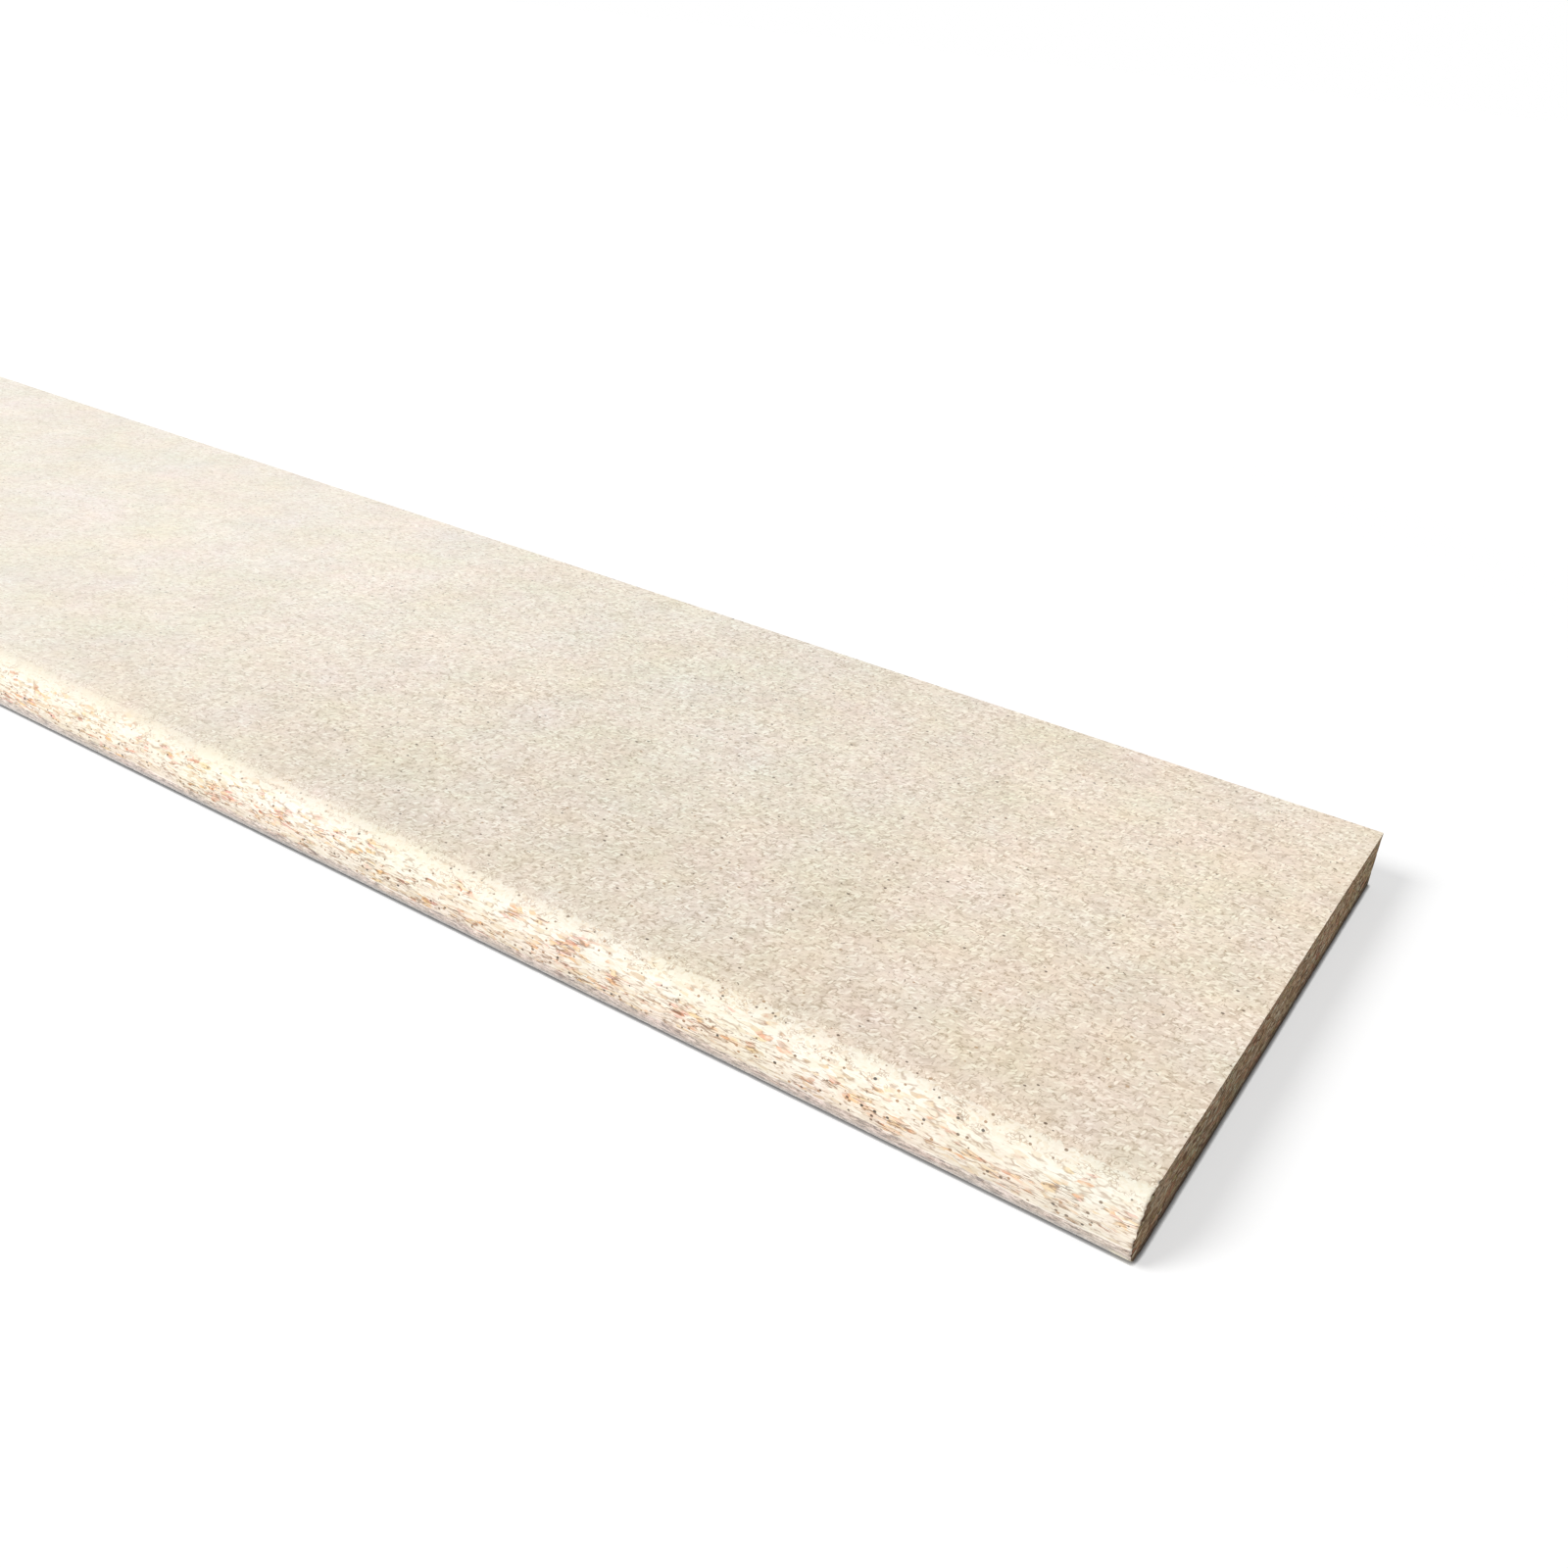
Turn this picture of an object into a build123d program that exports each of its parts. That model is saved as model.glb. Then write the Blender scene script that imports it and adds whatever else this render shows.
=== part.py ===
"""An unfinished particleboard stair tread: one pressed board with a bull nose milled along its front.

The origin is the centre of the underside. X runs along the tread, parallel to the riser.
Y runs from the nose at the front to the square back edge, and Z runs up from the underside.
"""

from build123d import *
import os

# Driving dimensions, in millimetres. The stock is sold in inch sizes.
inch = 25.4
tread_length = 42 * inch
tread_depth = 11.5 * inch
tread_thickness = 1.0625 * inch
nose_bottom_radius = 0.375 * inch
nose_land = 0.0625 * inch

# The two cutter radii meet the upright land between them, so the upper one takes the rest
# of the thickness.
nose_top_radius = tread_thickness - nose_land - nose_bottom_radius

# Where the section's straight faces lie.
nose_y = -tread_depth / 2
back_y = tread_depth / 2
land_low_z = nose_bottom_radius
land_high_z = nose_bottom_radius + nose_land

# The section across the tread: flat underside, square back, flat top, and the nose as a large
# upper round, a narrow upright land and a smaller lower round, each meeting the next smoothly.
with BuildPart() as tread:
    with BuildSketch(Plane.YZ):
        with BuildLine():
            underside = Line((nose_y + nose_bottom_radius, 0), (back_y, 0))
            back_edge = Line(underside @ 1, (back_y, tread_thickness))
            walking_face = Line(back_edge @ 1, (nose_y + nose_top_radius, tread_thickness))
            top_round = TangentArc(walking_face @ 1, (nose_y, land_high_z), tangent=walking_face % 1)
            land = Line(top_round @ 1, (nose_y, land_low_z))
            bottom_round = TangentArc(land @ 1, underside @ 0, tangent=land % 1)
        make_face()
    extrude(amount=tread_length / 2, both=True)

tread.part.label = "tread"

os.makedirs("parts", exist_ok=True)
export_step(tread.part, "parts/tread.step")

faces = tread.part.faces()
print("faces", len(faces), "volume", round(tread.part.volume), "box", tread.part.bounding_box().size)
print("nose radii", nose_top_radius, nose_bottom_radius)
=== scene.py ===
"""Looks of an unfinished particleboard stair tread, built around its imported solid.

The board is one pressed piece, so it is one mesh: sanded wide faces, a milled bull nose along
the front, and saw cuts at the back and both ends. Its relief is in the mesh: chips torn out of
the cuts, broken arrises at the ends, and the step between the nose's two cutters. Its colours
come from three materials that share the same kind of chips, which run through the solid board.
Sizes on the board are in millimetres, and those of the set around it are in metres.
"""

import math
from typing import NamedTuple

import bpy
import numpy as np
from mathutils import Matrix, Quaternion, Vector
from mathutils.geometry import delaunay_2d_cdt


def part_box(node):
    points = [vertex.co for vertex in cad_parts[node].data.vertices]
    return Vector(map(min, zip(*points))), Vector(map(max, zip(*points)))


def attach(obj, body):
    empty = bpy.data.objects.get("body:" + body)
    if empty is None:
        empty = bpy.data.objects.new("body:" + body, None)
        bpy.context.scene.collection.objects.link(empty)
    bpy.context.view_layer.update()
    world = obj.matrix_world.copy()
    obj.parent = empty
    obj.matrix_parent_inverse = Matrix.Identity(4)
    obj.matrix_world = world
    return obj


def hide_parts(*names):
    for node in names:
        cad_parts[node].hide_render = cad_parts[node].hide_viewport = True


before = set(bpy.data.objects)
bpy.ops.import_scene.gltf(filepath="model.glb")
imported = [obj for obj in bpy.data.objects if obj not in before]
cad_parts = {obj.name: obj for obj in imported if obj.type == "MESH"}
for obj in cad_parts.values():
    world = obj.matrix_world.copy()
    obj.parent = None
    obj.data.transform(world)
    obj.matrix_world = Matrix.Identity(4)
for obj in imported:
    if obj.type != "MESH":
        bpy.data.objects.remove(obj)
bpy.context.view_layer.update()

MM = 1000.0  # millimetres in a metre

# The board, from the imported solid.
board_low, board_high = (np.array(corner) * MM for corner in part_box("tread"))
half_length = board_high[0]
nose_y = board_low[1]
back_y = board_high[1]
thickness = board_high[2]

# The nose's section: two cutter radii and the upright land between them.
lower_radius = 9.525
land = 1.5875
upper_radius = thickness - land - lower_radius
upper_arc = upper_radius * math.pi / 2
lower_arc = lower_radius * math.pi / 2
nose_girth = upper_arc + land + lower_arc
land_top_z = lower_radius + land

# How far apart the mesh's points lie. The nose's columns are finer near the saw cuts.
nose_step = 1.25
nose_row_step = 0.65
nose_end_run = 4.0
nose_end_step = nose_row_step * 0.7
back_step = 2.4
back_row_step = 1.5
end_step = 1.0

# The points inside an end are nudged, and stay this far from its rim and from its nose.
end_nudge = end_step * 0.28
end_rim_gap = end_step * 0.55
end_nose_gap = end_rim_gap * 1.4

# Rings of points fill a wide face. The first is rim_step in from the rim, and each next one is
# twice as far in. The points of a ring lie ring_stretch times that far apart.
rim_step = 0.6
ring_stretch = 1.3

# The cutter for the lower round runs a little deeper than the one for the upper round. Its extra
# depth starts within cutter_step_run of the land, and fades out over the last of the nose.
cutter_step = 0.12
cutter_step_run = 0.12
cutter_step_fade = 2.0

# How uneven each cut is, between the chips torn out of it.
nose_roughness = 0.02
saw_roughness = 0.03

# No chip off an end's arris reaches as far in as this.
bite_limit = 5.0


class Torn(NamedTuple):
    """The chips that a cut tears out: the ranges of half their length, half their width and depth."""

    half_runs: tuple
    half_rises: tuple
    depths: tuple


class Bites(NamedTuple):
    """Small chips off a stretch of arris: how many, and the ranges of depth and half their length."""

    number: int
    depths: tuple
    reaches: tuple


torn_by_cutter = Torn(half_runs=(0.8, 2.8), half_rises=(0.5, 0.8), depths=(0.03, 0.22))
torn_by_saw = Torn(half_runs=(0.8, 3.0), half_rises=(0.55, 1.1), depths=(0.08, 0.5))

# How many chips are torn out of the nose, the back and each end.
torn_from_nose = 1300
torn_from_back = 900
torn_from_end = 420

nose_bites = Bites(number=46, depths=(0.2, 0.75), reaches=(0.5, 1.6))
walking_bites = Bites(number=46, depths=(0.05, 0.2), reaches=(0.6, 2.0))
under_bites = Bites(number=40, depths=(0.06, 0.25), reaches=(0.8, 3.2))
back_bites = Bites(number=6, depths=(0.1, 0.4), reaches=(0.7, 2.0))

# Length, width and thickness of the chips that each finish shows.
fines_size = (5.0, 1.8, 1.1)
nose_fines_size = (2.6, 1.3, 0.7)
nose_coarse_size = (9.0, 4.8, 1.3)
sawn_coarse_size = (7.0, 4.4, 1.5)

# How deep the skin and the fines reach, on average, from a wide face.
skin_ends = (0.52, 0.60)
nose_fines_depth = 3.4
sawn_fines_depth = 3.0

# The three ways that the chips lie, in radians, and the place that they are turned about.
chip_turns = (0.1, -0.6, -1.4)
chip_turn_centre = (131.0, 57.0, 9.0)

# The most that a loose fibre is turned, in radians.
hair_turn = 6.28

# Stretches of X over which the looks change from left to right.
# Left of this stretch the walking face has a painted sheen that makes it paler and calmer.
skin_sheen_fades = (-150, 330)  # pale and calm before it
skin_warms = (250, 520)
nose_fills = (-250, 200)  # fewer fine lines and less bark before it
heartwood_thins = (150, 450)
shoulder_fills = (60, 380)  # calm under the skin before it
tip_calms = (430, 520)
# Over this stretch the painted shade towards the nose's foot lessens.
foot_shade_lessens = (300, 430)
# Over this stretch the painted highlight on the nose's lower ridge comes to run all along.
ridge_highlight_starts = (470, 500)
tip_breaks = (525, 528)

# Where one stretch of the nose's foot is darker, and how far from there that fades.
dark_stretch_x = 150
dark_stretch_fades = (60, 170)

# Height of the painted highlight along the fine ridge at the top of the nose's lower round.
ridge_highlight_z = 9.5

chance = np.random.default_rng(41)


def spaced(start, stop, step):
    """Evenly spaced places from start to stop, about a step apart."""
    return np.linspace(start, stop, max(2, round(abs(stop - start) / step) + 1))


def column_places():
    """X of the nose's columns: close together at the saw cuts, where the arris breaks."""
    fine = spaced(half_length - nose_end_run, half_length, nose_end_step)
    middle = spaced(-half_length + nose_end_run, half_length - nose_end_run, nose_step)
    return np.concatenate([-fine[::-1], middle[1:-1], fine])


def row_places():
    """Arc length down the nose of each row, with two rows at the cutter's step."""
    down_to_land = spaced(0, upper_arc, nose_row_step)
    land_rows = spaced(upper_arc, upper_arc + land, land / 2)
    below = spaced(upper_arc + land + cutter_step_run, nose_girth, nose_row_step)
    return np.concatenate([down_to_land, land_rows[1:], below])


def nose_section(run):
    """Y, Z and the outward normal's Y and Z at arc lengths down the nose from the walking face."""
    on_upper = np.clip(run / upper_radius, 0, math.pi / 2)
    on_land = np.clip(run - upper_arc, 0, land)
    on_lower = np.clip((run - upper_arc - land) / lower_radius, 0, math.pi / 2)
    y = nose_y + upper_radius * (1 - np.sin(on_upper)) + lower_radius * (1 - np.cos(on_lower))
    z = thickness - upper_radius * (1 - np.cos(on_upper)) - on_land - lower_radius * np.sin(on_lower)
    lean = on_upper + on_lower
    return y, z, -np.sin(lean), np.cos(lean)


def nose_front(z):
    """Y of the nose at a height, for filling the ends."""
    above = np.clip((z - land_top_z) / upper_radius, 0, 1)
    under = np.clip((lower_radius - z) / lower_radius, 0, 1)
    return (
        nose_y
        + upper_radius * (1 - np.sqrt(1 - above**2))
        + lower_radius * (1 - np.sqrt(1 - under**2))
    )


class Board:
    """The board's points and faces, gathered one surface at a time, and how far each point moved."""

    def __init__(self):
        self.points = np.zeros((0, 3))
        self.normals = np.zeros((0, 3))
        self.moves = np.zeros((0, 3))
        self.worn = np.zeros(0)
        self.faces = []
        self.finishes = []

    def add(self, points, normals):
        """Adds points with their outward normals, and returns their numbers."""
        points = np.asarray(points, float).reshape(-1, 3)
        normals = np.broadcast_to(np.asarray(normals, float), points.shape)
        first = len(self.points)
        self.points = np.concatenate([self.points, points])
        self.normals = np.concatenate([self.normals, normals])
        self.moves = np.concatenate([self.moves, np.zeros(points.shape)])
        self.worn = np.concatenate([self.worn, np.zeros(len(points))])
        return np.arange(first, len(self.points))

    def face(self, corners, finish):
        """Adds faces of one finish, each a list of point numbers."""
        self.faces.extend(corners)
        self.finishes.extend([finish] * len(corners))

    def grid(self, numbers, finish):
        """Joins a grid of point numbers into quads that face out."""
        a, b = numbers[:-1, :-1], numbers[1:, :-1]
        c, d = numbers[1:, 1:], numbers[:-1, 1:]
        self.face(np.stack([a, d, c, b], -1).reshape(-1, 4).tolist(), finish)

    def fill(self, rim, inner, flat, finish, turn_over=False):
        """Triangulates a flat face inside its rim. flat gives the two axes of its plane."""
        numbers = np.concatenate([rim, inner])
        places = [Vector(place) for place in self.points[numbers][:, flat]]
        loop = list(range(len(rim)))
        _, _, triangles, sources, _, _ = delaunay_2d_cdt(places, [], [loop], 1, 1e-5)
        own = [int(numbers[source[0]]) for source in sources]
        corners = [[own[i] for i in triangle] for triangle in triangles]
        self.face([c[::-1] for c in corners] if turn_over else corners, finish)

    def sink(self, numbers, depth):
        """Moves points straight into the board."""
        numbers, depth = numbers.ravel(), depth.ravel()
        self.shift(numbers, -depth[:, None] * self.normals[numbers], depth)

    def shift(self, numbers, move, depth):
        """Moves points, and adds to how much is worn away at each."""
        self.moves[numbers] += move
        self.worn[numbers] += depth

    def moved(self, numbers=slice(None)):
        """The points where they now lie."""
        return self.points[numbers] + self.moves[numbers]


def wide_places(front_y):
    """X, Y places over a wide face: close together at its rim and far apart in the middle."""
    places = []
    inset = rim_step
    while inset < (back_y - front_y) / 2:
        step = inset * ring_stretch
        front, back, side_x = front_y + inset, back_y - inset, half_length - inset
        run = spaced(-side_x, side_x, step)
        places += [(x, front) for x in run] + [(x, back) for x in run]
        places += [(x, y) for y in spaced(front, back, step)[1:-1] for x in (-side_x, side_x)]
        inset *= 2
    return np.array(places)


def end_places():
    """Y, Z places over an end, each nudged, clear of its rim."""
    y, z = np.meshgrid(spaced(nose_y, back_y, end_step), spaced(0, thickness, end_step), indexing="ij")
    places = np.stack([y.ravel(), z.ravel()], -1)
    places += chance.uniform(-end_nudge, end_nudge, places.shape)
    y, z = places.T
    inside = (z > end_rim_gap) & (z < thickness - end_rim_gap) & (y < back_y - end_rim_gap)
    return places[inside & (y > nose_front(np.clip(z, 0, thickness)) + end_nose_gap)]


def torn_out(u, v, count, torn):
    """Depth at each place where chips were torn from a cut, as lens-shaped hollows."""
    least, most = torn.depths
    depth = np.zeros(u.shape)
    for _ in range(count):
        u0, v0 = chance.uniform(u.min(), u.max()), chance.uniform(v.min(), v.max())
        half_run = chance.uniform(*torn.half_runs)
        half_rise = chance.uniform(*torn.half_rises)
        deepest = least + (most - least) * chance.random() ** 2
        off = ((u - u0) / half_run) ** 2 + ((v - v0) / half_rise) ** 2
        depth = np.maximum(depth, deepest * (1 - off))
    return depth


def nose_relief(x, run):
    """How far the nose's surface lies below its drawn section.

    The fines near the walking face hold, so hollows are shallow there. Nothing moves on the rim,
    which the nose shares with the wide faces.
    """
    torn = torn_out(x, run, torn_from_nose, torn_by_cutter)
    loose = np.interp(run, (upper_radius * 0.45, upper_radius * 0.9), (0.15, 1.0))
    lower_cut = np.where(run > upper_arc + land + cutter_step_run / 2, cutter_step, 0)
    fade = np.interp(run, (nose_girth - cutter_step_fade, nose_girth), (1, 0))
    uneven = chance.uniform(0, nose_roughness, x.shape)
    rim = np.minimum(run, nose_girth - run) < 1e-6
    return np.where(rim, 0, torn * loose + uneven + lower_cut * fade)


def saw_relief(u, z, count):
    """How far a saw cut's surface lies below a plane, deepest in the board's coarse middle."""
    torn = torn_out(u, z, count, torn_by_saw)
    depth = np.minimum(z, thickness - z)
    loose = np.interp(depth, (0, 1.0, 5.0), (0, 0.35, 1.0))
    uneven = chance.uniform(0, saw_roughness, u.shape)
    return np.where(depth < 1e-6, 0, torn * loose + uneven)


def bitten_spots():
    """Where an end's arris lost a small chip: each spot's Y and Z, the way out there, its kind."""
    spots = []
    for run in chance.uniform(1, nose_girth, nose_bites.number):
        y, z, ny, nz = (float(value) for value in nose_section(run))
        spots.append(((y, z), (ny, nz), nose_bites))
    for y in chance.uniform(nose_y + upper_radius, back_y, walking_bites.number):
        spots.append(((y, thickness), (0, 1), walking_bites))
    for y in chance.uniform(nose_y + lower_radius, back_y, under_bites.number):
        spots.append(((y, 0), (0, -1), under_bites))
    for z in chance.uniform(0, thickness, back_bites.number):
        spots.append(((back_y, z), (1, 0), back_bites))
    return spots


def break_end_arris(board, side):
    """Takes small chips off an end's arris, each a shallow scoop, deepest at its middle."""
    from_end = np.abs(board.points[:, 0] - side * half_length)
    numbers = np.flatnonzero(from_end < bite_limit)
    for (y, z), (ny, nz), bites in bitten_spots():
        tilt = chance.uniform(0.5, 1.0)
        away = np.array([side * tilt, ny, nz])
        away /= np.linalg.norm(away)
        along = np.array([0, -nz, ny])
        from_spot = board.moved(numbers) - np.array([side * half_length, y, z])
        share = (from_spot @ along) / chance.uniform(*bites.reaches)
        deepest = chance.uniform(*bites.depths)
        over = from_spot @ away + deepest * (1 - share**2)
        over = np.where(np.abs(share) < 1, np.clip(over, 0, None), 0)
        board.shift(numbers, -over[:, None] * away, over)


def end_arris(board, side, z, front_y):
    """The points along an end's top or bottom arris, between the nose and the back."""
    places = [(side * half_length, y, z) for y in spaced(front_y, back_y, end_step)[1:-1]]
    return board.add(places, (0, 0, 1 if z else -1))


def build_board():
    """All the surfaces of the board, sharing the points where they meet."""
    board = Board()

    # The milled nose, from the walking face round to the underside.
    x, run = np.meshgrid(column_places(), row_places(), indexing="ij")
    y, z, ny, nz = nose_section(run)
    outward = np.stack([np.zeros_like(x), ny, nz], -1).reshape(-1, 3)
    nose = board.add(np.stack([x, y, z], -1), outward).reshape(x.shape)
    board.grid(nose, "nose")
    board.sink(nose, nose_relief(x, run))

    # The sawn back, from the walking face down to the underside.
    x, z = np.meshgrid(
        spaced(-half_length, half_length, back_step),
        spaced(thickness, 0, back_row_step),
        indexing="ij",
    )
    back = board.add(np.stack([x, np.full_like(x, back_y), z], -1), (0, 1, 0)).reshape(x.shape)
    board.grid(back[::-1], "sawn")
    board.sink(back, saw_relief(x, z, torn_from_back))

    # The top and bottom arris of each end.
    ends = {}
    for side in (-1, 1):
        top_arris = end_arris(board, side, thickness, nose_y + upper_radius)
        under_arris = end_arris(board, side, 0, nose_y + lower_radius)
        ends[side] = (top_arris, under_arris)

    # The sanded walking face and underside.
    for row, which, z, radius in ((0, 0, thickness, upper_radius), (-1, 1, 0, lower_radius)):
        places = np.insert(wide_places(nose_y + radius), 2, z, 1)
        inner = board.add(places, (0, 0, 1 if z else -1))
        rim = [nose[:, row], ends[1][which], back[::-1, row], ends[-1][which][::-1]]
        board.fill(np.concatenate(rim), inner, (0, 1), "sanded", turn_over=not z)

    # The two saw-cut ends.
    for side, column in ((-1, 0), (1, -1)):
        places = end_places()
        inner = board.add(np.insert(places, 0, side * half_length, 1), (side, 0, 0))
        top_arris, under_arris = ends[side]
        rim = [nose[column, ::-1], top_arris, back[column], under_arris[::-1]]
        board.fill(np.concatenate(rim), inner, (1, 2), "sawn", turn_over=side < 0)
        board.sink(inner, saw_relief(places[:, 0], places[:, 1], torn_from_end))
        break_end_arris(board, side)
    return board


def link(thing):
    """Puts an object into the scene."""
    bpy.context.scene.collection.objects.link(thing)
    return thing


def write_mesh(board, materials):
    """Makes the Blender piece from the gathered points and faces, in metres."""
    least_sharp_angle = math.radians(42)
    mesh = bpy.data.meshes.new("tread_board")
    mesh.from_pydata((board.moved() / MM).tolist(), [], board.faces)
    order = list(materials)
    for material in materials.values():
        mesh.materials.append(material)
    mesh.polygons.foreach_set("material_index", [order.index(f) for f in board.finishes])
    mesh.polygons.foreach_set("use_smooth", [True] * len(board.faces))
    torn = mesh.attributes.new("torn", "FLOAT", "POINT")
    torn.data.foreach_set("value", board.worn)
    mesh.set_sharp_from_angle(angle=least_sharp_angle)
    mesh.update()
    return link(bpy.data.objects.new("tread_board", mesh))


def paint(red, green, blue):
    """A colour as it looks on screen, 0 to 255, as the linear colour that a shader takes."""
    shown = np.array([red, green, blue]) / 255
    linear = np.where(shown <= 0.04045, shown / 12.92, ((shown + 0.055) / 1.055) ** 2.4)
    return (*linear.tolist(), 1.0)


class Wiring:
    """Adds nodes to one node tree. A value that is a socket is linked, and any other is set."""

    def __init__(self, tree):
        self.tree = tree

    def add(self, kind, feeds=None, **settings):
        """A node with these settings, its open inputs fed by name."""
        node = self.tree.nodes.new("ShaderNode" + kind)
        for name, value in settings.items():
            setattr(node, name, value)
        for name, value in (feeds or {}).items():
            self.feed(next(s for s in node.inputs if s.enabled and s.name == name), value)
        return node

    def feed(self, socket, value):
        """Links or sets one socket."""
        if isinstance(value, bpy.types.NodeSocket):
            self.tree.links.new(value, socket)
        else:
            socket.default_value = value

    def in_order(self, kind, operation, values):
        """What an operation makes of its values, taken in order."""
        node = self.add(kind, operation=operation)
        for socket, value in zip(node.inputs, values):
            self.feed(socket, value)
        return next(s for s in node.outputs if s.enabled)

    def maths(self, operation, *values):
        """What an operation makes of numbers."""
        return self.in_order("Math", operation, values)

    def vector(self, operation, *values):
        """What an operation makes of places, sizes or colours."""
        return self.in_order("VectorMath", operation, values)

    def plus(self, first, second):
        """The sum of two values."""
        return self.maths("ADD", first, second)

    def times(self, first, second):
        """One value times another."""
        return self.maths("MULTIPLY", first, second)

    def apart(self, first, second):
        """How far one value is from another, either way."""
        return self.maths("ABSOLUTE", self.maths("SUBTRACT", first, second))

    def axes(self, place):
        """X, Y and Z of a place."""
        return self.add("SeparateXYZ", {"Vector": place}).outputs

    def group(self, tree, feeds):
        """A placed node group, fed by name."""
        node = self.add("Group")
        node.node_tree = tree
        for name, value in feeds.items():
            self.feed(node.inputs[name], value)
        return node.outputs

    def noise(self, place, size, detail=2.0, roughness=0.5):
        """Smooth noise from 0 to 1, with features about this many millimetres across."""
        feeds = {"Vector": self.vector("DIVIDE", place, size), "Scale": 1.0}
        feeds |= {"Detail": detail, "Roughness": roughness}
        return self.add("TexNoise", feeds).outputs["Fac"]

    def cells(self, place):
        """Scattered cells, about one to a unit: the nearest one's distance, position and colour."""
        return self.add("TexVoronoi", {"Vector": place, "Scale": 1.0}).outputs

    def draws(self, colour):
        """The three random draws, each from 0 to 1, that a cell's colour holds."""
        return self.add("SeparateColor", {"Color": colour}).outputs

    def between(self, value, low, high, to_low=0.0, to_high=1.0):
        """How far a value is between two others, smoothly, as a value between two more."""
        feeds = {"Value": value, "From Min": low, "From Max": high}
        feeds |= {"To Min": to_low, "To Max": to_high}
        return self.add("MapRange", feeds, interpolation_type="SMOOTHSTEP").outputs["Result"]

    def mix(self, share, first, second, kind="RGBA", blend="MIX"):
        """The first where the share is 0 and the second where it is 1."""
        feeds = {"Factor": share, "A": first, "B": second}
        node = self.add("Mix", feeds, data_type=kind, blend_type=blend)
        return next(s for s in node.outputs if s.enabled)

    def ramp(self, value, stops):
        """A colour ramp. Each stop is a place and a painted colour."""
        node = self.add("ValToRGB", {"Fac": value})
        elements = node.color_ramp.elements
        while len(elements) < len(stops):
            elements.new(0.5)
        for element, (place, colour) in zip(elements, stops):
            element.position = place
            element.color = colour
        return node.outputs["Color"]


def new_group(name, takes, gives):
    """An empty node group with named sockets: its tree, its wiring, what it is given, its end."""
    tree = bpy.data.node_groups.new(name, "ShaderNodeTree")
    for in_out, sockets in (("INPUT", takes), ("OUTPUT", gives)):
        for socket, kind in sockets.items():
            tree.interface.new_socket(socket, in_out=in_out, socket_type="NodeSocket" + kind)
    given = tree.nodes.new("NodeGroupInput").outputs
    result = tree.nodes.new("NodeGroupOutput").inputs
    return tree, Wiring(tree), given, result


def mat_lie_group():
    """Where a point lies in the pressed mat.

    Depth is how far it is below the nearer wide face, in millimetres. Core depth is the same
    but swings from patch to patch, for choosing fine or coarse chips. Bent is the place with the
    lie of the chips bent a little, as they settle round each other.
    """
    takes = {"Place": "Vector", "Patches": "Vector", "Swing": "Float"}
    gives = {"Depth": "Float", "Core depth": "Float", "Bent": "Vector"}
    tree, wiring, given, result = new_group("mat_lie", takes, gives)
    place = given["Place"]
    z = wiring.axes(place)["Z"]
    depth = wiring.maths("MINIMUM", z, wiring.maths("SUBTRACT", thickness, z))
    wiring.feed(result["Depth"], depth)
    cloud = wiring.noise(place, given["Patches"], detail=3.0, roughness=0.6)
    less = wiring.times(given["Swing"], -1.0)
    swung = wiring.between(cloud, 0.3, 0.7, less, given["Swing"])
    wiring.feed(result["Core depth"], wiring.plus(depth, swung))
    warp = wiring.noise(place, (9.0, 9.0, 3.0), detail=2.0)
    feeds = {"Y": wiring.times(warp, 3.0), "Z": wiring.times(warp, 1.8)}
    shift = wiring.add("CombineXYZ", feeds).outputs["Vector"]
    wiring.feed(result["Bent"], wiring.vector("ADD", place, shift))
    return tree


def pressed_chips_group():
    """Flat chips lying three ways over each other, as they fell into the press.

    Tone and Tint are each chip's own draws. Heart grows from 0 at the middle of the chip, and
    Joint from 0 at the seam with the next one.
    """
    takes = {"Place": "Vector", "Size": "Vector"}
    gives = {"Tone": "Float", "Tint": "Float", "Heart": "Float", "Joint": "Float"}
    tree, wiring, given, result = new_group("pressed_chips", takes, gives)
    nearest, next_nearest, chip = None, None, None
    for turn in chip_turns:
        feeds = {"Vector": given["Place"], "Center": chip_turn_centre, "Angle": turn}
        turned = wiring.add("VectorRotate", feeds, rotation_type="Z_AXIS").outputs["Vector"]
        cell = wiring.cells(wiring.vector("DIVIDE", turned, given["Size"]))
        if nearest is None:
            nearest, chip = cell["Distance"], cell["Color"]
            continue
        farther = wiring.maths("MAXIMUM", nearest, cell["Distance"])
        if next_nearest is None:
            next_nearest = farther
        else:
            next_nearest = wiring.maths("MINIMUM", next_nearest, farther)
        over = wiring.maths("LESS_THAN", cell["Distance"], nearest)
        chip = wiring.mix(over, chip, cell["Color"])
        nearest = wiring.maths("MINIMUM", nearest, cell["Distance"])
    drawn = wiring.draws(chip)
    wiring.feed(result["Tone"], drawn["Red"])
    wiring.feed(result["Tint"], drawn["Green"])
    wiring.feed(result["Heart"], nearest)
    wiring.feed(result["Joint"], wiring.maths("SUBTRACT", next_nearest, nearest))
    return tree


def specks_group():
    """Scattered specks, such as bark, slits and pores.

    Share is how many places hold one, Reach is the largest one's radius as a share of the
    spacing, and Tone is each one's own draw.
    """
    takes = {"Place": "Vector", "Spacing": "Vector", "Share": "Float", "Reach": "Float"}
    tree, wiring, given, result = new_group("specks", takes, {"Mask": "Float", "Tone": "Float"})
    cell = wiring.cells(wiring.vector("DIVIDE", given["Place"], given["Spacing"]))
    drawn = wiring.draws(cell["Color"])
    reach = wiring.times(given["Reach"], wiring.between(drawn["Green"], 0.0, 1.0, 0.45, 1.0))
    inside = wiring.between(cell["Distance"], wiring.times(reach, 0.72), reach, 1.0, 0.0)
    held = wiring.maths("LESS_THAN", drawn["Red"], given["Share"])
    wiring.feed(result["Mask"], wiring.times(inside, held))
    wiring.feed(result["Tone"], drawn["Blue"])
    return tree


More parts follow.
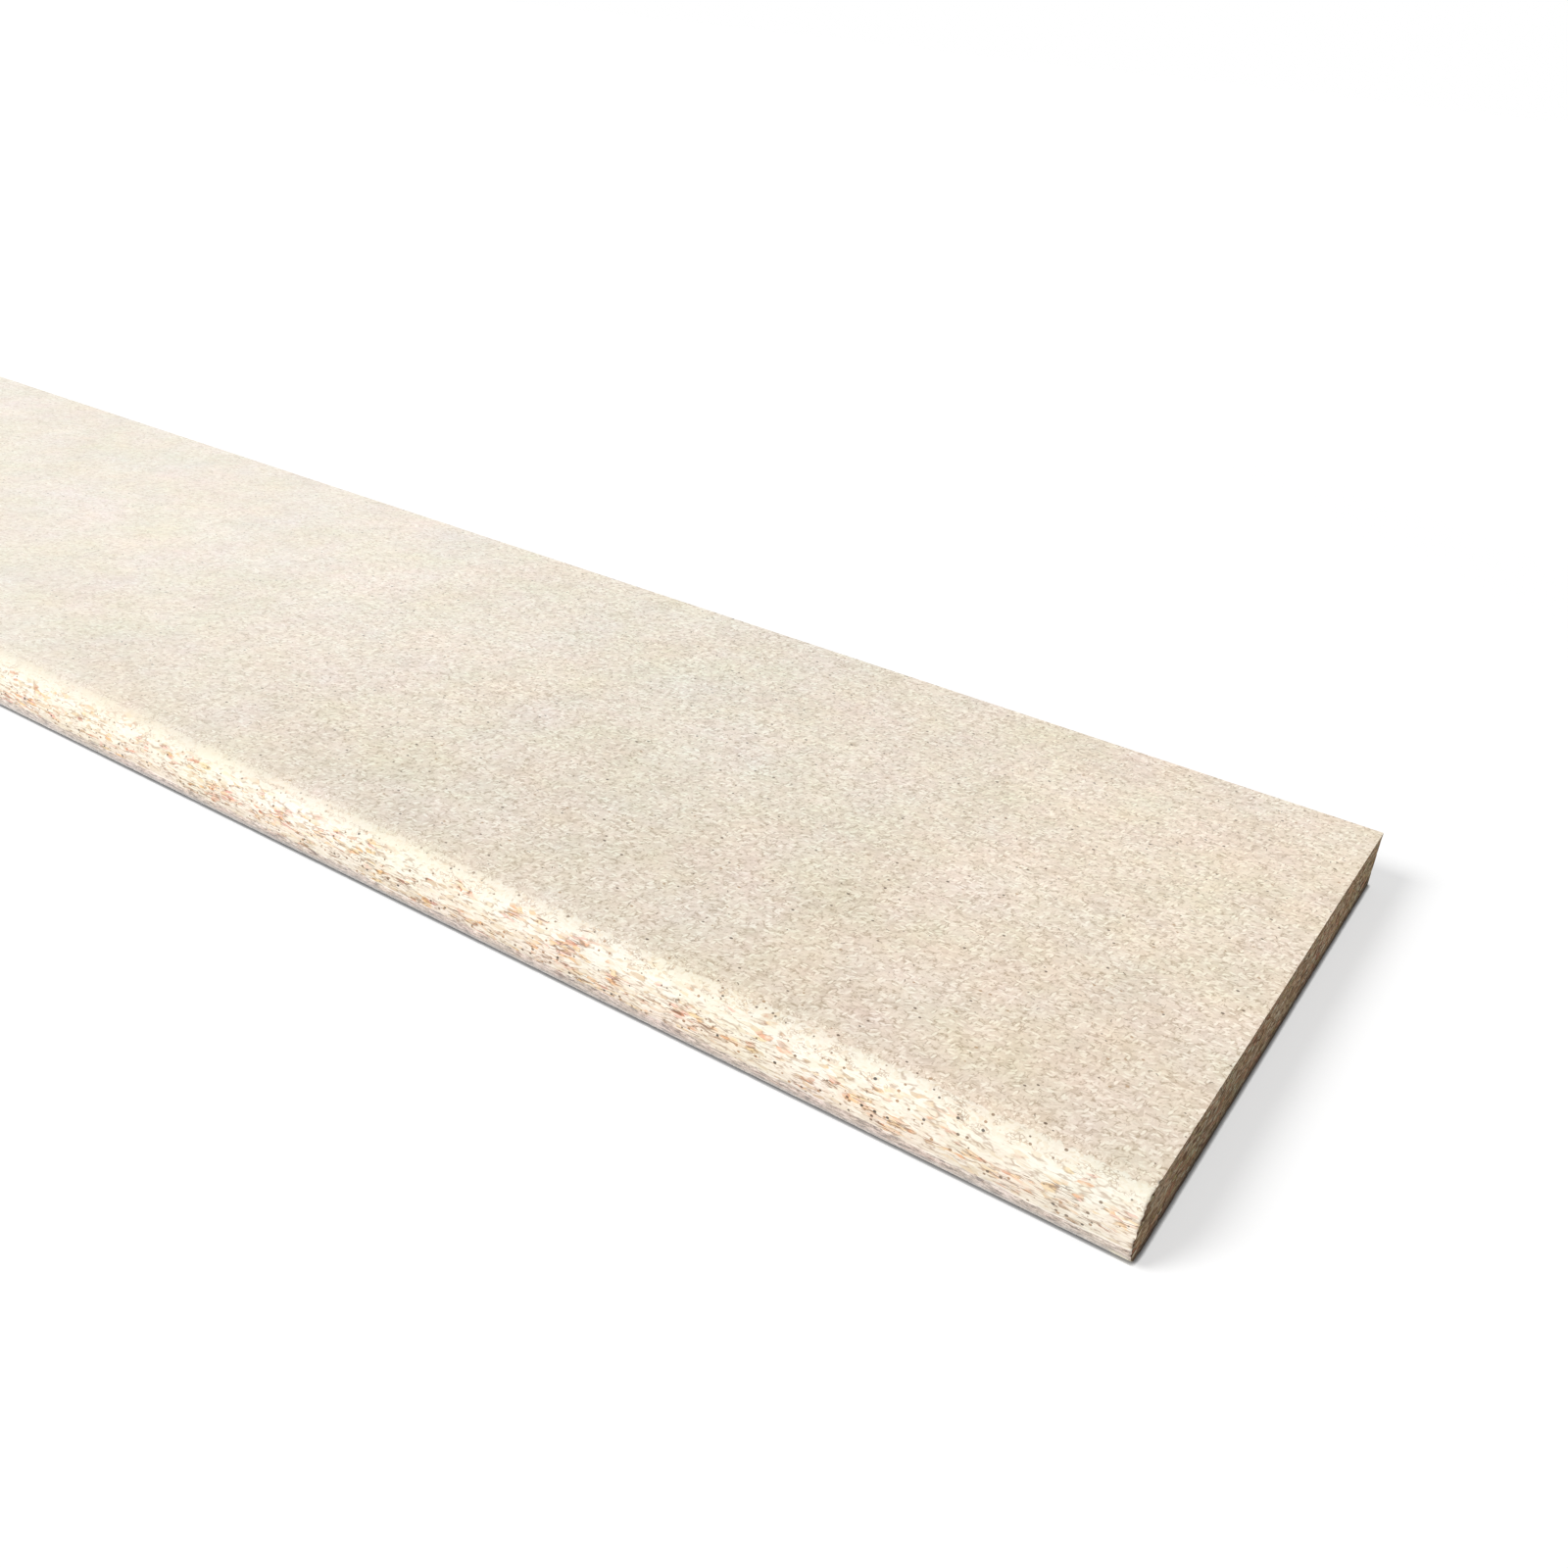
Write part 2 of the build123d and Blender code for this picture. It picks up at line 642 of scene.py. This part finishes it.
def hairs_group():
    """Sparse fibres, each a thin bent line a few millimetres long. Spacing is in millimetres."""
    takes = {"Place": "Vector", "Spacing": "Float"}
    tree, wiring, given, result = new_group("hairs", takes, {"Mask": "Float"})
    scaled = wiring.vector("DIVIDE", given["Place"], given["Spacing"])
    cell = wiring.cells(scaled)
    away = wiring.vector("SUBTRACT", scaled, cell["Position"])
    away = wiring.vector("MULTIPLY", away, given["Spacing"])
    drawn = wiring.draws(cell["Color"])
    feeds = {"Vector": away, "Angle": wiring.times(drawn["Red"], hair_turn)}
    turned = wiring.add("VectorRotate", feeds, rotation_type="Z_AXIS").outputs["Vector"]
    axes = wiring.axes(turned)
    bend = wiring.between(drawn["Green"], 0.0, 1.0, -0.28, 0.28)
    bow = wiring.times(wiring.times(axes["X"], axes["X"]), bend)
    thick = wiring.between(wiring.apart(axes["Y"], bow), 0.08, 0.26, 1.0, 0.0)
    half_run = wiring.between(drawn["Blue"], 0.0, 1.0, 0.7, 2.0)
    held = wiring.maths("LESS_THAN", wiring.maths("ABSOLUTE", axes["X"]), half_run)
    near = wiring.maths("LESS_THAN", wiring.maths("ABSOLUTE", axes["Z"]), 1.2)
    wiring.feed(result["Mask"], wiring.times(thick, wiring.times(held, near)))
    return tree


def drift_group():
    """Tints a colour by soft patches up to a hand wide, as the wood in the mat varied."""
    takes = {"Place": "Vector", "Colour": "Color", "Amount": "Float"}
    tree, wiring, given, result = new_group("drift", takes, {"Colour": "Color"})
    scaled = wiring.vector("DIVIDE", given["Place"], (48.0, 48.0, 48.0))
    feeds = {"Vector": scaled, "Scale": 1.0, "Detail": 4.0, "Roughness": 0.75}
    patch = wiring.add("TexNoise", feeds).outputs["Color"]
    drawn = wiring.vector("SUBTRACT", patch, (0.5, 0.5, 0.5))
    hue = wiring.vector("MULTIPLY", drawn, (0.5, 0.35, 0.75))
    light = wiring.vector("DOT_PRODUCT", drawn, (0.35, 0.35, 0.35))
    swing = wiring.vector("MULTIPLY", wiring.vector("ADD", hue, light), given["Amount"])
    share = wiring.vector("ADD", swing, (1.0, 1.0, 1.0))
    wiring.feed(result["Colour"], wiring.vector("MULTIPLY", given["Colour"], share))
    return tree


def torn_wear_group():
    """Stains a colour where a chip was torn out, from the least depth up to the deepest."""
    takes = {"Colour": "Color", "Stain": "Color", "Least": "Float", "Deepest": "Float", "Most": "Float"}
    tree, wiring, given, result = new_group("torn_wear", takes, {"Colour": "Color"})
    torn = wiring.add("Attribute", attribute_name="torn").outputs["Fac"]
    share = wiring.between(torn, given["Least"], given["Deepest"], 0.0, given["Most"])
    wiring.feed(result["Colour"], wiring.mix(share, given["Colour"], given["Stain"]))
    return tree


def skin_colour_group(groups):
    """Colours the sanded skin: pale flecks in a beige ground, with bark and dark fibres."""
    takes = {"Place": "Vector", "Tone": "Float", "Tint": "Float", "Heart": "Float"}
    tree, wiring, given, result = new_group("skin_colour", takes, {"Colour": "Color"})
    place = given["Place"]
    colour = wiring.ramp(given["Tint"], (
        (0.0, paint(217, 204, 185)),
        (0.25, paint(232, 220, 203)),
        (0.75, paint(241, 230, 213)),
        (1.0, paint(246, 236, 220)),
    ))

    # Pale flecks, and a painted shadow round the edge of some.
    fleck = wiring.between(given["Heart"], 0.22, 0.36, 1.0, 0.0)
    fleck = wiring.times(fleck, wiring.between(given["Tone"], 0.15, 0.80))
    colour = wiring.mix(fleck, colour, paint(255, 250, 234))
    opened = wiring.noise(place, (2.4, 2.4, 2.4), detail=2.0)
    opened = wiring.between(opened, 0.44, 0.62, 0.0, 0.72)
    fleck_shadow = wiring.between(wiring.apart(given["Heart"], 0.42), 0.02, 0.10, 1.0, 0.0)
    colour = wiring.mix(wiring.times(fleck_shadow, opened), colour, paint(170, 152, 126))
    grain = wiring.noise(place, (0.9, 0.6, 0.6), detail=1.0)
    colour = wiring.mix(wiring.between(grain, 0.3, 0.7, 0.14, 0.0), colour, paint(176, 156, 128))

    # Specks of bark, and dark fibres.
    feeds = {"Place": place, "Spacing": (4.4, 3.4, 3.0), "Share": 0.5, "Reach": 0.19}
    bark = wiring.group(groups["specks"], feeds)
    dark = wiring.mix(bark["Tone"], paint(78, 60, 44), paint(184, 156, 124))
    colour = wiring.mix(wiring.times(bark["Mask"], 0.92), colour, dark)
    fibre = wiring.group(groups["hairs"], {"Place": place, "Spacing": 12.5})["Mask"]
    colour = wiring.mix(wiring.times(fibre, 0.85), colour, paint(92, 72, 54))

    # A little darker along the nose, warmer to the right, and to the left a painted sheen that makes it
    # paler and calmer.
    axes = wiring.axes(place)
    strip = wiring.between(axes["Y"], nose_y + 8, nose_y + 210, 0.11, 0.0)
    colour = wiring.mix(strip, colour, paint(120, 96, 70))
    warm = wiring.vector("MULTIPLY", colour, (1.065, 1.025, 0.995))
    colour = wiring.mix(wiring.between(axes["X"], *skin_warms), colour, warm)
    fade = wiring.between(axes["X"], *skin_sheen_fades, 1.0, 0.0)
    calm = wiring.mix(wiring.times(fade, 0.4), colour, paint(236, 224, 206))
    sheen_paled = wiring.vector("MULTIPLY", calm, (1.08, 1.105, 1.15))
    colour = wiring.mix(fade, colour, sheen_paled)
    feeds = {"Place": place, "Colour": colour, "Amount": 0.34}
    wiring.feed(result["Colour"], wiring.group(groups["drift"], feeds)["Colour"])
    return tree


def effect_groups():
    """The effects that the finishes share, each a node group."""
    groups = {
        "mat_lie": mat_lie_group(),
        "pressed_chips": pressed_chips_group(),
        "specks": specks_group(),
        "hairs": hairs_group(),
        "drift": drift_group(),
        "torn_wear": torn_wear_group(),
    }
    groups["skin_colour"] = skin_colour_group(groups)
    return groups


def place_in_mm(wiring):
    """The point's place on the board in millimetres."""
    place = wiring.add("TexCoord").outputs["Object"]
    return wiring.vector("MULTIPLY", place, (MM, MM, MM))


def new_material(name, roughness):
    """A material with its wiring and its shader."""
    material = bpy.data.materials.new(name)
    material.use_nodes = True
    shader = material.node_tree.nodes["Principled BSDF"]
    shader.inputs["Roughness"].default_value = roughness
    return material, Wiring(material.node_tree), shader


def bump(wiring, height, distance):
    """A normal from a height, whose full range is this many millimetres deep."""
    return wiring.add("Bump", {"Height": height, "Distance": distance / MM}).outputs["Normal"]


def skin_at(wiring, groups, place, chips):
    """The skin's colour at a place, with the chip that lies there."""
    feeds = {"Place": place} | {name: chips[name] for name in ("Tone", "Tint", "Heart")}
    return wiring.group(groups["skin_colour"], feeds)["Colour"]


def lay_dust(shader):
    """Fine wood dust on a face, which pales it at a low angle as a nap does."""
    shader.inputs["Sheen Weight"].default_value = 0.6
    shader.inputs["Sheen Roughness"].default_value = 0.35


def sanded_face(groups):
    """The walking face and the underside: fines, sanded flat."""
    material, wiring, shader = new_material("sanded_face", 0.6)
    place = place_in_mm(wiring)
    chips = wiring.group(groups["pressed_chips"], {"Place": place, "Size": fines_size})
    wiring.feed(shader.inputs["Base Color"], skin_at(wiring, groups, place, chips))
    lay_dust(shader)
    nap = wiring.noise(place, (0.8, 0.5, 0.5), detail=2.0)
    wiring.feed(shader.inputs["Normal"], bump(wiring, nap, 0.06))
    return material


class NoseCut:
    """What the nose's colours share: its wiring, where a point lies, and how the mat is there."""

    def __init__(self, wiring, groups):
        self.wiring = wiring
        self.groups = groups
        self.place = place_in_mm(wiring)
        axes = wiring.axes(self.place)
        self.x, self.z = axes["X"], axes["Z"]
        feeds = {"Place": self.place, "Patches": (20.0, 20.0, 5.0), "Swing": 3.0}
        lie = wiring.group(groups["mat_lie"], feeds)
        self.depth, self.core_depth, self.bent = lie["Depth"], lie["Core depth"], lie["Bent"]

        # How far into the coarse middle, where the cut shows streaks and not grains.
        self.streaky = wiring.between(self.core_depth, 2.4, 9.0)

        # Where slivers of one wood lie together, and where their edges lie thick.
        self.cluster = wiring.noise(self.place, (14.0, 14.0, 4.0), detail=4.0, roughness=0.65)
        busy = wiring.plus(self.cluster, wiring.between(self.core_depth, 3.0, 12.0, -0.12, 0.02))
        most = wiring.between(self.x, *nose_fills, 0.5, 1.0)
        self.busy = wiring.between(busy, 0.43, 0.57, 0.0, most)


def sliver_colour(cut, chips):
    """Pale slivers, with heartwood in clusters: rust, peach, yellow and pink."""
    wiring = cut.wiring
    pale = wiring.ramp(chips["Tone"], (
        (0.0, paint(206, 187, 160)),
        (0.08, paint(223, 211, 186)),
        (0.25, paint(229, 221, 202)),
        (0.6, paint(234, 227, 211)),
        (1.0, paint(238, 233, 218)),
    ))
    even = wiring.between(cut.streaky, 0.0, 0.3, 0.35, 0.0)
    pale = wiring.mix(even, pale, paint(231, 224, 206))
    heart = wiring.ramp(chips["Tint"], (
        (0.0, paint(166, 94, 66)),
        (0.10, paint(219, 138, 98)),
        (0.30, paint(234, 188, 130)),
        (0.55, paint(236, 214, 166)),
        (0.80, paint(235, 196, 180)),
        (1.0, paint(219, 162, 150)),
    ))
    hearty = wiring.plus(cut.cluster, wiring.between(chips["Tone"], 0.0, 1.0, 0.12, -0.12))
    most = wiring.between(cut.x, *heartwood_thins, 0.95, 0.78)
    hearty = wiring.between(hearty, 0.55, 0.70, 0.0, most)
    hearty = wiring.times(hearty, wiring.between(cut.streaky, 0.0, 0.4, 0.2, 1.0))
    return wiring.mix(hearty, pale, heart)


def with_fibres(cut, colour, fibre):
    """Long fine lines along the cut, where slivers meet, and the grain of each sliver."""
    wiring = cut.wiring
    line = wiring.between(wiring.apart(fibre, 0.5), 0.010, 0.045, 1.0, 0.0)
    shown = wiring.times(line, wiring.times(cut.busy, 0.9))
    colour = wiring.mix(shown, colour, paint(124, 92, 66))
    along = wiring.times(wiring.between(fibre, 0.52, 0.68), cut.busy)
    colour = wiring.mix(wiring.times(along, 0.2), colour, paint(206, 170, 136))
    grain = wiring.noise(cut.bent, (2.6, 2.6, 0.32), detail=2.0, roughness=0.6)
    shown = wiring.between(grain, 0.30, 0.60, 0.26, 0.0)
    shown = wiring.times(shown, wiring.between(cut.streaky, 0.0, 0.5, 0.3, 1.0))
    return wiring.mix(shown, colour, paint(176, 150, 122))


def with_seams_and_bark(cut, colour, chips):
    """Seams between chips, slits where a sliver was pulled out, and dots of bark."""
    wiring, specks = cut.wiring, cut.groups["specks"]
    loose = wiring.noise(cut.place, (5.0, 5.0, 1.2), detail=2.0)
    seam = wiring.between(chips["Joint"], 0.02, 0.2, 1.0, 0.0)
    seam = wiring.times(seam, wiring.between(loose, 0.48, 0.62, 0.02, 0.65))
    colour = wiring.mix(seam, colour, paint(156, 126, 98))

    feeds = {"Place": cut.bent, "Spacing": (17.0, 9.0, 1.1), "Share": 0.36, "Reach": 0.22}
    slit = wiring.group(specks, feeds)
    dark = wiring.mix(slit["Tone"], paint(88, 64, 48), paint(170, 118, 80))
    shown = wiring.times(slit["Mask"], wiring.between(cut.streaky, 0.0, 0.4, 0.0, 0.88))
    colour = wiring.mix(shown, colour, dark)

    least = wiring.between(cut.x, *nose_fills, 0.2, 0.6)
    share = wiring.between(cut.busy, 0.0, 0.7, least, 1.0)
    feeds = {"Place": cut.place, "Spacing": (3.0, 2.6, 2.1), "Share": share, "Reach": 0.26}
    dot = wiring.group(specks, feeds)
    dark = wiring.mix(dot["Tone"], paint(40, 36, 28), paint(172, 136, 100))
    return wiring.mix(wiring.times(dot["Mask"], 0.95), colour, dark)


def with_nose_wear(cut, colour):
    """Darker where chips were torn out, and calmer at the shoulder's left and at the right tip."""
    wiring, torn_wear = cut.wiring, cut.groups["torn_wear"]
    feeds = {"Colour": colour, "Stain": paint(186, 150, 116)}
    feeds |= {"Least": 0.05, "Deepest": 0.25, "Most": 0.16}
    colour = wiring.group(torn_wear, feeds)["Colour"]
    feeds = {"Colour": colour, "Stain": paint(104, 76, 52)}
    feeds |= {"Least": 0.35, "Deepest": 0.6, "Most": 0.8}
    colour = wiring.group(torn_wear, feeds)["Colour"]
    most = wiring.between(cut.x, *shoulder_fills, 0.6, 0.1)
    calm = wiring.between(cut.depth, 1.0, 6.0, most, 0.0)
    calm = wiring.maths("MAXIMUM", calm, wiring.between(cut.x, *tip_calms, 0.0, 0.12))
    return wiring.mix(calm, colour, paint(224, 215, 198))


def with_lower_round(cut, colour):
    """The lower round: streaked and smoothed by its own cutter, painted grey for its shade, and painted
    shade towards the floor.
    """
    wiring = cut.wiring
    wave = wiring.noise(cut.place, (12.0, 12.0, 12.0), detail=2.0)
    height = wiring.plus(cut.z, wiring.between(wave, 0.3, 0.7, -0.5, 0.5))
    # Streaks left by the cutter, in a grey that is painted shade where the round turns under.
    smear = wiring.noise(cut.place, (5.0, 5.0, 1.2), detail=4.0, roughness=0.85)
    cutter_streaks_in_shade = wiring.ramp(smear, (
        (0.40, paint(108, 95, 95)),
        (0.465, paint(183, 171, 159)),
        (0.535, paint(214, 199, 188)),
        (0.605, paint(252, 242, 232)),
    ))
    colour = wiring.mix(wiring.between(height, 8.9, 9.4, 0.8, 0.0), colour, cutter_streaks_in_shade)

    # A painted highlight along the fine ridge at its top, here and there and all along the right tip.
    highlight_kept = wiring.between(cut.x, *ridge_highlight_starts)
    highlight_kept = wiring.maths("MAXIMUM", highlight_kept, wiring.between(wave, 0.5, 0.6))
    ridge_highlight = wiring.between(wiring.apart(height, ridge_highlight_z), 0.15, 0.45, 0.9, 0.0)
    colour = wiring.mix(wiring.times(ridge_highlight, highlight_kept), colour, paint(250, 244, 232))

    # Painted shade as it turns under towards the floor, deepest in a thin line at its foot, and a
    # darker stretch along it.
    shade = wiring.between(cut.x, *foot_shade_lessens, 0.13, 0.05)
    shade = wiring.between(height, 5.0, 8.8, shade, 0.0)
    dark_stretch = wiring.between(wiring.apart(cut.x, dark_stretch_x), *dark_stretch_fades, 0.34, 0.0)
    dark_stretch = wiring.between(height, 4.2, 7.0, dark_stretch, 0.0)
    foot_line_shade = wiring.between(height, 2.4, 4.7, 0.5, 0.0)
    painted_foot_shade = wiring.plus(wiring.plus(shade, dark_stretch), foot_line_shade)
    colour = wiring.mix(painted_foot_shade, colour, paint(78, 70, 62))

    # The very tip's foot is freshly broken, and pale.
    fresh = wiring.between(height, 5.0, 6.2, 0.85, 0.0)
    fresh = wiring.times(fresh, wiring.between(cut.x, *tip_breaks))
    return wiring.mix(fresh, colour, paint(244, 234, 204))


def milled_nose(groups):
    """The bull nose: the skin at its top, then pale fines, then the coarse middle's slivers."""
    material, wiring, shader = new_material("milled_nose", 0.65)
    cut = NoseCut(wiring, groups)
    coarse = wiring.maths("GREATER_THAN", cut.core_depth, nose_fines_depth)
    size = wiring.mix(coarse, nose_fines_size, nose_coarse_size, kind="VECTOR")
    chips = wiring.group(groups["pressed_chips"], {"Place": cut.bent, "Size": size})
    fibre = wiring.noise(cut.bent, (10.0, 10.0, 1.0), detail=2.0, roughness=0.5)

    colour = sliver_colour(cut, chips)
    colour = with_fibres(cut, colour, fibre)
    colour = with_seams_and_bark(cut, colour, chips)
    colour = with_nose_wear(cut, colour)
    colour = with_lower_round(cut, colour)

    # Painted light: the cut is lighter and warmer from half its height down.
    light = wiring.vector("MULTIPLY", colour, (1.125, 1.09, 1.085))
    colour = wiring.mix(wiring.between(cut.z, 13.0, 21.0, 1.0, 0.0), colour, light)
    feeds = {"Place": cut.place, "Colour": colour, "Amount": 0.3}
    colour = wiring.group(groups["drift"], feeds)["Colour"]

    # The skin stays along the top, down to a ragged edge.
    ragged = wiring.noise(cut.place, (3.4, 3.4, 3.4), detail=4.0, roughness=0.7)
    skin_depth = wiring.plus(cut.depth, wiring.between(ragged, 0.3, 0.7, -0.22, 0.22))
    opened = wiring.between(skin_depth, *skin_ends)
    skin = skin_at(wiring, groups, cut.place, chips)
    skin = wiring.mix(wiring.between(cut.depth, 0.0, 0.4, 0.0, 0.12), skin, paint(120, 100, 80))
    wiring.feed(shader.inputs["Base Color"], wiring.mix(opened, skin, colour))
    lay_dust(shader)
    wiring.feed(shader.inputs["Normal"], bump(wiring, fibre, 0.14))
    return material


def sawn_edge(groups):
    """The back and the ends: the same chips, darkened and torn by the saw."""
    material, wiring, shader = new_material("sawn_edge", 0.8)
    shader.inputs["Specular IOR Level"].default_value = 0.15
    place = place_in_mm(wiring)
    feeds = {"Place": place, "Patches": (9.0, 9.0, 4.0), "Swing": 1.5}
    lie = wiring.group(groups["mat_lie"], feeds)
    coarse = wiring.maths("GREATER_THAN", lie["Core depth"], sawn_fines_depth)
    size = wiring.mix(coarse, fines_size, sawn_coarse_size, kind="VECTOR")
    chips = wiring.group(groups["pressed_chips"], {"Place": lie["Bent"], "Size": size})

    # Chips of every tone, some greenish and some pink.
    colour = wiring.ramp(chips["Tone"], (
        (0.0, paint(116, 88, 64)),
        (0.15, paint(168, 135, 105)),
        (0.38, paint(211, 181, 151)),
        (0.70, paint(236, 208, 176)),
        (1.0, paint(255, 247, 224)),
    ))
    hue = wiring.ramp(chips["Tint"], (
        (0.0, paint(222, 222, 176)),
        (0.22, paint(255, 255, 250)),
        (0.72, paint(255, 252, 240)),
        (0.88, paint(255, 226, 204)),
        (1.0, paint(255, 208, 204)),
    ))
    colour = wiring.mix(1.0, colour, hue, blend="MULTIPLY")

    # Seams, pores, and the hollows of torn chips.
    seam = wiring.between(chips["Joint"], 0.02, 0.2, 0.6, 0.0)
    colour = wiring.mix(seam, colour, paint(104, 78, 54))
    feeds = {"Place": lie["Bent"], "Spacing": (6.0, 6.0, 2.8), "Share": 0.6, "Reach": 0.3}
    pore = wiring.group(groups["specks"], feeds)
    colour = wiring.mix(wiring.times(pore["Mask"], 0.92), colour, paint(48, 32, 22))
    feeds = {"Colour": colour, "Stain": paint(86, 60, 40)}
    feeds |= {"Least": 0.03, "Deepest": 0.4, "Most": 0.5}
    colour = wiring.group(groups["torn_wear"], feeds)["Colour"]

    # Browner towards the nose, painted shade at the foot, and darker along both arrises.
    axes = wiring.axes(place)
    browner = wiring.between(axes["Y"], nose_y, nose_y + 200, 0.2, 0.0)
    colour = wiring.mix(browner, colour, paint(60, 40, 24))
    painted_foot_shade = wiring.between(axes["Z"], 0.4, 6.6, 0.88, 0.0)
    colour = wiring.mix(painted_foot_shade, colour, paint(42, 34, 27))
    darker_arrises = wiring.between(lie["Depth"], 0.3, 2.0, 0.32, 0.0)
    colour = wiring.mix(darker_arrises, colour, paint(104, 76, 52))
    feeds = {"Place": place, "Colour": colour, "Amount": 0.5}
    wiring.feed(shader.inputs["Base Color"], wiring.group(groups["drift"], feeds)["Colour"])
    fibre = wiring.noise(place, (2.5, 2.5, 0.5), detail=3.0, roughness=0.6)
    wiring.feed(shader.inputs["Normal"], bump(wiring, fibre, 0.25))
    return material


def place_camera():
    """The photograph's view, from in front of the right end."""
    camera = link(bpy.data.objects.new("camera", bpy.data.cameras.new("camera")))
    camera.data.sensor_width = 36.0
    camera.data.lens = 34.533
    camera.data.clip_start = 0.02
    camera.location = (0.60488, -0.49695, 0.33826)
    aim = Vector((0.30770, 0.00388, 0.02716))
    tilt = Quaternion((0, 0, 1), math.radians(5.352))
    camera.rotation_mode = "QUATERNION"
    camera.rotation_quaternion = (aim - camera.location).to_track_quat("-Z", "Y") @ tilt
    bpy.context.scene.camera = camera


def seen_directly(wiring):
    """1 for a ray from the camera, a mirror or a pane, which then sees the plain white of the set."""
    path = wiring.add("LightPath").outputs
    seen = wiring.maths("MAXIMUM", path["Is Camera Ray"], path["Is Glossy Ray"])
    return wiring.maths("MAXIMUM", seen, path["Is Transmission Ray"])


def floor_material():
    """A pale floor that looks white and keeps the board's shadow, and fades to plain white far off.

    The narrow gap under the board's round edges stays dark, as it does in the photograph.
    """
    gap_reach = 0.0017
    fade_start, fade_end = 0.7, 1.8
    material = bpy.data.materials.new("studio_floor")
    material.use_nodes = True
    wiring = Wiring(material.node_tree)
    material.node_tree.nodes.clear()
    place = wiring.add("TexCoord").outputs["Object"]
    far = wiring.between(wiring.vector("LENGTH", place), fade_start, fade_end)
    open_sky = wiring.add("AmbientOcclusion", {"Distance": gap_reach}, samples=8).outputs["AO"]
    gap_shade = wiring.maths("POWER", open_sky, 5.0)
    glow = wiring.times(wiring.between(far, 0.0, 1.0, 0.62, 1.0), gap_shade)
    white = wiring.add("Emission", {"Color": (1, 1, 1, 1), "Strength": glow})
    shaded = wiring.add("BsdfDiffuse", {"Color": (0.42, 0.42, 0.42, 1)})
    shown = wiring.add("AddShader")
    wiring.feed(shown.inputs[0], shaded.outputs[0])
    wiring.feed(shown.inputs[1], white.outputs[0])
    bouncing = wiring.add("BsdfDiffuse", {"Color": (0.45, 0.45, 0.45, 1)})
    chosen = wiring.add("MixShader", {"Fac": seen_directly(wiring)})
    wiring.feed(chosen.inputs[1], bouncing.outputs[0])
    wiring.feed(chosen.inputs[2], shown.outputs[0])
    end = wiring.add("OutputMaterial")
    wiring.feed(end.inputs["Surface"], chosen.outputs[0])
    return material


def lay_floor():
    """A wide plain floor, just under the board."""
    reach = 9.0
    below = 0.0002
    mesh = bpy.data.meshes.new("floor")
    corners = [(-reach, -reach, 0), (reach, -reach, 0), (reach, reach, 0), (-reach, reach, 0)]
    mesh.from_pydata(corners, [], [(0, 1, 2, 3)])
    mesh.materials.append(floor_material())
    floor = link(bpy.data.objects.new("floor", mesh))
    floor.location.z = -below


def light_studio():
    """A wide soft key from the front left, and an even pale surround that fills the shade."""
    world = bpy.data.worlds.new("studio")
    world.use_nodes = True
    wiring = Wiring(world.node_tree)
    surround = world.node_tree.nodes["Background"]
    surround.inputs["Color"].default_value = (1, 1, 1, 1)
    strength = wiring.mix(seen_directly(wiring), 0.32, 1.0, kind="FLOAT")
    wiring.feed(surround.inputs["Strength"], strength)
    bpy.context.scene.world = world
    key_way, key_distance = Vector((-0.42, -0.62, 0.66)), 8
    key = link(bpy.data.objects.new("key", bpy.data.lights.new("key", "AREA")))
    key.data.shape = "DISK"
    key.data.size = 3.5
    key.data.energy = 730
    key.location = key_way * key_distance
    key.rotation_mode = "QUATERNION"
    key.rotation_quaternion = (-key.location).to_track_quat("-Z", "Y")


groups = effect_groups()
materials = {
    "sanded": sanded_face(groups),
    "nose": milled_nose(groups),
    "sawn": sawn_edge(groups),
}
piece = write_mesh(build_board(), materials)
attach(piece, "root")
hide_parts("tread")

place_camera()
lay_floor()
light_studio()
bpy.context.scene.view_settings.view_transform = "Standard"
